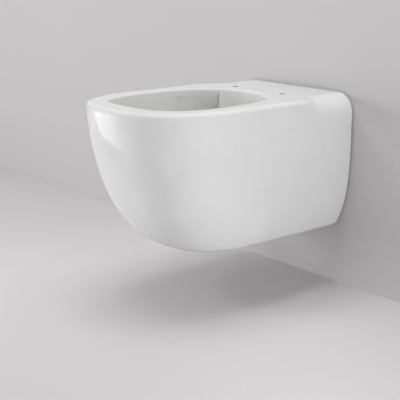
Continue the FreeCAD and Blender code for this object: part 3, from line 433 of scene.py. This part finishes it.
def extrude_line(bm, line, points, closed=False):
    """Extrudes the line and moves the new points to their places; gives the new line."""
    edges = [bm.edges.get(pair) for pair in pairs_along(line, closed)]
    grown = bmesh.ops.extrude_edge_only(bm, edges=edges)["geom"]
    fresh = {item for item in grown if isinstance(item, bmesh.types.BMVert)}
    new_line = []
    for old, point in zip(line, points):
        new = next(e.other_vert(old) for e in old.link_edges if e.other_vert(old) in fresh)
        new.co = point
        new_line.append(new)
    return new_line


def merge(bm):
    bmesh.ops.remove_doubles(bm, verts=bm.verts, dist=SAME_PLACE)


print("points closer than", SAME_PLACE, "m are merged")

# %% [markdown]
# The casting's outside is the same on its left and right. So only the right half of the skirt
# is drawn, from the wall to the nose, and bmesh's mirror makes the left half. Both could be
# drawn, but then a small difference between them could creep in. The two halves share the
# points along the middle once those that lie in one place are merged.

# %% The skirt
SIDE_STATIONS, NOSE_STATIONS = 72, 84
stations = [2.0 - step / SIDE_STATIONS for step in range(SIDE_STATIONS)]
stations += [1.0 - step / NOSE_STATIONS for step in range(NOSE_STATIONS + 1)]

bm = bmesh.new()
line = draw_line(bm, skirt_line(stations[0]))
for station in stations[1:]:
    line = extrude_line(bm, line, skirt_line(station))
for vert in line:
    vert.co.x = 0.0
half = bm.verts[:] + bm.edges[:] + bm.faces[:]
bmesh.ops.mirror(bm, geom=half, axis="X", merge_dist=SAME_PLACE)
merge(bm)
print("skirt:", len(bm.faces), "faces")

# %% [markdown]
# The bowl opens in the flat rim. Its mouth is a rounded D, with an upright wall below it. Lower
# down, the bowl closes towards its sump: in a round belly at the front and the sides, and in a
# straighter slope at the rear. A carved lump could be cut out of the pan, but its edges would be
# rough. So the bowl is an outline at each depth, like the skirt, made of two half ovals, one to
# the front and one to the rear.

# %% Outline of the bowl
MOUTH_HALF, MOUTH_FRONT, MOUTH_REAR, WIDEST_AT = 0.1355, 0.4845, 0.1515, 0.321
FRONT_POWER, REAR_POWER = 3.05, 2.4
UPRIGHT, BOWL_BOTTOM = 0.062, 0.228
SIDE_CLOSING, FLOOR_CLOSING, REAR_CLOSING = 1.7, 0.8, 1.15
SUMP_AT, SUMP_FLOOR = 0.282, 0.039


def bowl_point(depth, turn, outwards):
    """Place on the bowl's outline at a depth; the turn starts at the right side."""
    fallen = min(max((depth - UPRIGHT) / (BOWL_BOTTOM - UPRIGHT), 0.0), 1.0)
    open_sides = (1.0 - fallen ** SIDE_CLOSING) ** FLOOR_CLOSING
    open_rear = (1.0 - fallen) ** REAR_CLOSING
    half_width = SUMP_FLOOR + (MOUTH_HALF - SUMP_FLOOR) * open_sides
    middle = SUMP_AT + (WIDEST_AT - SUMP_AT) * open_sides
    front = SUMP_FLOOR + (MOUTH_FRONT - WIDEST_AT - SUMP_FLOOR) * open_sides
    rear_gap = SUMP_AT - SUMP_FLOOR
    rear = middle - rear_gap + (rear_gap - MOUTH_REAR) * open_rear
    to_front = math.sin(turn) < 0
    reach = front if to_front else rear
    power = 2.0 + ((FRONT_POWER if to_front else REAR_POWER) - 2.0) * open_sides
    across = abs(math.cos(turn)) ** (2 / power)
    along = abs(math.sin(turn)) ** (2 / power)
    slope_x = across ** (power - 1) / half_width
    slope_y = along ** (power - 1) / reach
    length = math.hypot(slope_x, slope_y)
    x = half_width * across + outwards * slope_x / length
    y = reach * along + outwards * slope_y / length
    return Vector((
        math.copysign(x, math.cos(turn)),
        BACK_Y - middle + math.copysign(y, math.sin(turn)),
        RIM_Z - depth,
    ))


print("mouth's right side at x", round(bowl_point(0.0, 0.0, 0.0).x, 4), "m")

# %% [markdown]
# Flush water enters from a box at the rear and runs along a groove on each side of the bowl's
# wall, which gets shallower until it ends. It could be cut with a bent tube, but the wall's own
# outline already knows the way round. So the groove is only a distance that the wall is set
# back by, and it depends on how far round the bowl a point lies.

# %% Side grooves
BOX_HALF = 0.077
GROOVE_DEPTH, GROOVE_BOTTOM = 0.016, 0.060
GROOVE_TURN, GROOVE_FADE, GROOVE_RUN_OUT = -0.12, 1.2, 0.002
HALVINGS = 40


def turn_at_side(half_width):
    """Turn towards the rear at which the mouth's wall is this far from the middle."""
    low, high = 0.0, math.pi / 2
    for _ in range(HALVINGS):
        middle = (low + high) / 2
        if bowl_point(0.0, middle, 0.0).x > half_width:
            low = middle
        else:
            high = middle
    return (low + high) / 2


BOX_TURN = turn_at_side(BOX_HALF)


def groove_out(turn):
    """How far the side groove is set back behind the wall at a turn."""
    turn = math.pi - turn if math.cos(turn) < 0 else turn
    turn = (turn + math.pi) % (2 * math.pi) - math.pi
    if turn > BOX_TURN or turn < GROOVE_TURN:
        return 0.0
    share = (BOX_TURN - turn) / (BOX_TURN - GROOVE_TURN)
    return max(GROOVE_DEPTH * (1 - share) ** GROOVE_FADE - GROOVE_RUN_OUT * share, 0.0)


print("flush box starts at turn", round(math.degrees(BOX_TURN), 1), "degrees")

# %% [markdown]
# Each outline round the bowl is a ring of points. Equal turns would crowd them at the sides of
# the D and leave its corners coarse. So the mouth's length is measured first, and the points are
# set an equal way apart along it. The flush box and its slot begin at exact places, so points
# are added there, and others that lie too near are left out.

# %% Turns round the bowl
RING_POINTS, MEASURING_STEPS = 208, 2000
EDGE_TURN, LEAST_TURN = 1e-4, 0.008
SLOT_HALF = 0.022

fine = [2 * math.pi * step / MEASURING_STEPS for step in range(MEASURING_STEPS + 1)]
run = [0.0]
for before, after in zip(fine, fine[1:]):
    gap = (bowl_point(0.0, after, 0.0) - bowl_point(0.0, before, 0.0)).length
    run.append(run[-1] + gap)
turns, at = [], 0
for step in range(RING_POINTS):
    target = run[-1] * step / RING_POINTS
    while run[at + 1] < target:
        at += 1
    part = (target - run[at]) / (run[at + 1] - run[at])
    turns.append(fine[at] + part * (fine[at + 1] - fine[at]))
special = [BOX_TURN - EDGE_TURN, BOX_TURN + EDGE_TURN, turn_at_side(SLOT_HALF)]
special += [math.pi - turn for turn in special]
turns = [t for t in turns if min(abs(t - s) for s in special) > LEAST_TURN]
turns = sorted(turns + special)
print("bowl ring:", len(turns), "points")

# %% [markdown]
# The rings follow the bowl's wall from the rim downwards. A soft edge leads from the flat rim
# into the upright wall. Below it the wall swings back into the groove, so that no hard ledge
# catches the light. The groove ends in a sharp step, which throws the water down into the bowl.
# The rings stop above the sump, where the CAD model's own surface takes over.

# %% The bowl's rings
MOUTH_EDGE, EDGE_STEPS = 0.0055, 14
GROOVE_SWING_END, SWING_STEPS = 0.048, 16
SLOT_TOP, SLOT_MIDDLE, SLOT_BOTTOM = 0.050, 0.054, 0.058
SKIN_END, SKIN_STEPS = 0.168, 36

rings = [[bowl_point(0.0, t, MOUTH_EDGE + FLAT_STRIP) for t in turns]]
for step in range(EDGE_STEPS + 1):
    bend = math.pi / 2 * step / EDGE_STEPS
    depth, out = MOUTH_EDGE * (1 - math.cos(bend)), MOUTH_EDGE * (1 - math.sin(bend))
    rings.append([bowl_point(depth, t, out) for t in turns])
for step in range(1, SWING_STEPS + 1):
    depth = MOUTH_EDGE + (GROOVE_SWING_END - MOUTH_EDGE) * step / SWING_STEPS
    set_back = smooth_swing(step / SWING_STEPS)
    rings.append([bowl_point(depth, t, set_back * groove_out(t)) for t in turns])
for depth in (SLOT_TOP, SLOT_MIDDLE, SLOT_BOTTOM, GROOVE_BOTTOM):
    rings.append([bowl_point(depth, t, groove_out(t)) for t in turns])
rings.append([bowl_point(GROOVE_BOTTOM, t, 0.0) for t in turns])
for step in range(SKIN_STEPS + 1):
    depth = UPRIGHT + (SKIN_END - UPRIGHT) * step / SKIN_STEPS
    rings.append([bowl_point(depth, t, 0.0) for t in turns])

line = draw_line(bm, rings[0], closed=True)
for ring in rings[1:]:
    line = extrude_line(bm, line, ring, closed=True)
merge(bm)
print("with the bowl:", len(bm.faces), "faces")

# %% [markdown]
# Flush water leaves its box in three places: through a low slot at the rear, and through the
# end of each side groove. In clay these are holes that are cut while it is soft. The rings
# already have edges there, so taking out the faces between them opens the holes, and no
# cutting body is needed.

# %% Openings in the wall of the bowl
GROOVE_OPEN_FROM = 0.042
IN_GAP = 2e-4       # metres from the plane across the groove's end


def in_slot(face):
    centre = face.calc_center_median()
    at_rear = abs(centre.x) < SLOT_HALF and centre.y > BACK_Y - WIDEST_AT
    return at_rear and RIM_Z - SLOT_BOTTOM < centre.z < RIM_Z - SLOT_TOP


def in_box_opening(face):
    """A face in the thin gap between a groove and the flush box, where water comes out."""
    centre = face.calc_center_median()
    depth = RIM_Z - centre.z
    if not GROOVE_OPEN_FROM < depth < GROOVE_BOTTOM:
        return False
    corner = bowl_point(depth, BOX_TURN, 0.0)
    middle = bowl_point(depth, BOX_TURN, GROOVE_DEPTH / 2)
    place = Vector((abs(centre.x), centre.y, centre.z))
    across = (middle - corner).normalized().cross(Vector((0, 0, 1)))
    in_plane = abs((place - corner).dot(across)) < IN_GAP
    return in_plane and (place - middle).length < GROOVE_DEPTH / 2


bm.normal_update()
slot_faces = [face for face in bm.faces if in_slot(face)]
end_faces = [face for face in bm.faces if in_box_opening(face)]
bmesh.ops.delete(bm, geom=slot_faces + end_faces, context="FACES")
print("slot faces taken out:", len(slot_faces), "groove ends opened:", len(end_faces))

# %% [markdown]
# The flat rim reaches from the skirt's edge to the mouth's, and it has two round holes behind
# the mouth, where a seat is bolted on. Faces could be bridged from one outline to the next by
# hand. Giving all the outlines to triangle_fill at once is simpler, because it keeps the inner
# ones as holes.

# %% The flat rim
HOLE_X, HOLE_Y, HOLE_RADIUS = 0.0775, BACK_Y - 0.1195, 0.0075
HOLE_POINTS = 48


def level_edges(bm, z):
    flat = [e for e in bm.edges if all(abs(v.co.z - z) < SAME_PLACE for v in e.verts)]
    return [e for e in flat if e.is_boundary]


def edge_at_wall(bm, z):
    """Joins the two ends of the skirt's outline at the wall, at one height."""
    ends = [v for v in bm.verts if abs(v.co.y - BACK_Y) < SAME_PLACE]
    ends = [v for v in ends if abs(v.co.z - z) < SAME_PLACE]
    return bm.edges.new(sorted(ends, key=lambda v: abs(v.co.x))[:2])


hole_edges = []
for side in (-1, 1):
    ring = bmesh.ops.create_circle(
        bm, segments=HOLE_POINTS, radius=HOLE_RADIUS,
        matrix=Matrix.Translation((side * HOLE_X, HOLE_Y, RIM_Z)),
    )["verts"]
    hole_edges += [edge for vert in ring for edge in vert.link_edges]
back_edge = edge_at_wall(bm, RIM_Z)
deck_edges = list(dict.fromkeys(level_edges(bm, RIM_Z) + hole_edges + [back_edge]))
bmesh.ops.triangle_fill(bm, edges=deck_edges, use_beauty=True, use_dissolve=False)
print("edges round the rim:", len(deck_edges))

# %% [markdown]
# The underside is flat and never seen from the room. One face closes it, from the skirt's
# outline and an edge along the wall. After that every face is turned to look outwards,
# because a renderer and a printer both tell the inside from the outside by it.

# %% The flat underside
UNDER_Z = RIM_Z - PAN_DEPTH
back_edge = edge_at_wall(bm, UNDER_Z)
bmesh.ops.contextual_create(bm, geom=level_edges(bm, UNDER_Z) + [back_edge])
bmesh.ops.recalc_face_normals(bm, faces=bm.faces)
top_faces = [f for f in bm.faces if abs(f.calc_center_median().z - RIM_Z) < 1e-5]
if sum(f.normal.z for f in top_faces) < 0:
    bmesh.ops.reverse_faces(bm, faces=bm.faces)
print("skin closed at the rim and the underside:", len(bm.faces), "faces")

# %% [markdown]
# Everything behind this skin, such as the hollow, the trapway and the flush box, is already
# right in the CAD model. It could be drawn a second time, but nobody would see a difference. So
# a copy of its mesh is merged, the part of it that lies on the new skin is taken out, and the
# rest is kept with the skin. The copy is first cut along the skin's lower end, so that the two
# meet there. A BVH tree of the skin then finds the nearest place on it for each face quickly.

# %% The hidden part of the casting
ON_SKIN, SAME_WAY = 0.0009, 0.7     # nearer than this in metres, and facing the same way

skin_tree = BVHTree.FromBMesh(bm)
inner = bmesh.new()
inner.from_mesh(nodes["pan"].data)
merge(inner)
everything = inner.verts[:] + inner.edges[:] + inner.faces[:]
bmesh.ops.bisect_plane(
    inner, geom=everything, dist=SAME_PLACE,
    plane_co=(0, 0, RIM_Z - SKIN_END), plane_no=(0, 0, 1),
)
inner.normal_update()


def on_skin(face):
    _, normal, _, gap = skin_tree.find_nearest(face.calc_center_median())
    return gap < ON_SKIN and face.normal.dot(normal) > SAME_WAY


covered = [face for face in inner.faces if on_skin(face)]
bmesh.ops.delete(inner, geom=covered, context="FACES")
print("CAD faces under the skin:", len(covered), "kept:", len(inner.faces))

# %% [markdown]
# A real pan comes out of its mould and its kiln as one piece, so the skin and the hidden part
# become one object, which stands in for the CAD pan. Smooth shading hides the facets of the
# curved faces. Over the true corners, such as the groove's step, it would smear the light, so
# edges that are steeper than a limit stay sharp.

# %% One casting
SHARP_FROM = math.radians(32)

inner_mesh = bpy.data.meshes.new("pan_inner")
inner.to_mesh(inner_mesh)
inner.free()
bm.from_mesh(inner_mesh)
china_mesh = bpy.data.meshes.new("pan_china")
bm.to_mesh(china_mesh)
bm.free()
china_mesh.shade_smooth()
china_mesh.set_sharp_from_angle(angle=SHARP_FROM)
china_mesh.materials.append(china)
pan_china = bpy.data.objects.new("pan_china", china_mesh)
scene.collection.objects.link(pan_china)
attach(pan_china, "root")
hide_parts("pan")
print("casting:", len(china_mesh.polygons), "faces")

# %% [markdown]
# The fixings are bought parts, and the CAD already has their true shapes. They need only their
# finishes: zinc on the steel, black rubber, natural nylon, grey foam and black plastic pipe.
# Zinc plating shows as soft grey patches on bare metal, and foam has small cells. A change of
# the noise's size and of the two shades is enough to tell them apart.

# %% Plain finishes
FINE_RELIEF = 0.0005
GREY_FOAM = ((0.36, 0.37, 0.38), (0.48, 0.49, 0.50))
ZINC = ((0.58, 0.59, 0.61), (0.72, 0.73, 0.74))
WHITE_SLEEVE = ((0.77, 0.77, 0.75), (0.82, 0.82, 0.80))
NYLON = ((0.79, 0.77, 0.70), (0.84, 0.82, 0.76))
RUBBER = ((0.030, 0.030, 0.030), (0.050, 0.050, 0.050))


def plain_finish(name, scale, shades, roughness, relief, metallic=0.0):
    material, shader = new_material(name)
    noise = speckled(material, shader, scale, *shades)
    roughened(material, shader, noise, relief, FINE_RELIEF)
    shader.inputs["Roughness"].default_value = roughness
    shader.inputs["Metallic"].default_value = metallic
    return material


finishes = {
    "foam_sheet": plain_finish("foam_sheet", 900, GREY_FOAM, 0.92, 0.6),
    "zinc_steel": plain_finish("zinc_steel", 90, ZINC, 0.36, 0.05, metallic=1.0),
    "sleeve_plastic": plain_finish("sleeve_plastic", 60, WHITE_SLEEVE, 0.28, 0.05),
    "natural_nylon": plain_finish("natural_nylon", 45, NYLON, 0.45, 0.10),
    "black_rubber": plain_finish("black_rubber", 500, RUBBER, 0.62, 0.30),
}
print("finishes:", ", ".join(finishes))

# %% [markdown]
# Plastic pipe is pressed through a ring while it is hot, and that leaves fine lines along its
# length. The same noise serves for it once it is stretched along the pipe.

# %% Finish of the pipes
ALONG_PIPE = (1.0, 0.04, 1.0)

pipe_plastic, shader = new_material("pipe_plastic")
noise = speckled(pipe_plastic, shader, 260, (0.040, 0.040, 0.044), (0.060, 0.060, 0.066))
stretch = node(pipe_plastic, "ShaderNodeMapping")
stretch.inputs["Scale"].default_value = ALONG_PIPE
place = node(pipe_plastic, "ShaderNodeTexCoord")
join(pipe_plastic, place.outputs["Object"], stretch.inputs["Vector"])
join(pipe_plastic, stretch.outputs["Vector"], noise.inputs["Vector"])
roughened(pipe_plastic, shader, noise, 0.12, 0.0004)
shader.inputs["Roughness"].default_value = 0.32
finishes["pipe_plastic"] = pipe_plastic
print("pipe noise is stretched by", ALONG_PIPE)

# %% [markdown]
# Each fixing now gets its finish. A list from finish to pieces is easier to check against a
# real set of fixings than a finish that is written beside every piece.

# %% Finishes on the fixings
made_of = {
    "foam_sheet": ["acoustic_mat"],
    "zinc_steel": [
        "bracket_left", "bracket_right", "wall_studs", "stud_washers", "stud_nuts",
        "clamp_washers", "clamp_screws", "clamp_nut_plates",
    ],
    "sleeve_plastic": ["stud_sleeves"],
    "natural_nylon": ["clamp_bushes", "flow_limiter"],
    "black_rubber": ["bracket_pads", "flush_seal", "waste_seal"],
    "pipe_plastic": ["flush_pipe", "waste_connector", "waste_seal_ring"],
}
for finish, names in made_of.items():
    for name in names:
        nodes[name].data.materials.clear()
        nodes[name].data.materials.append(finishes[finish])
    print(finish, "on", ", ".join(names))

# %% [markdown]
# The wall keeps the room's light off the pan's back, so one more panel stands behind it. With
# light linking it lights only the mat and the fixings, and only they can shade it. So they can
# be seen from behind, while the china and the room stay as they were. Taking the wall away
# would do it too, but the view from the front would lose it.

# %% Light for the back
back_pieces = bpy.data.collections.new("back_pieces")
for name in sorted(nodes):
    if name != "pan":
        back_pieces.objects.link(nodes[name])
behind_wall = area_light("behind_wall", (0, 1.6, -0.08), (0, 0, -0.08), 0.7, 0.7, 13)
behind_wall.light_linking.receiver_collection = back_pieces
behind_wall.light_linking.blocker_collection = back_pieces
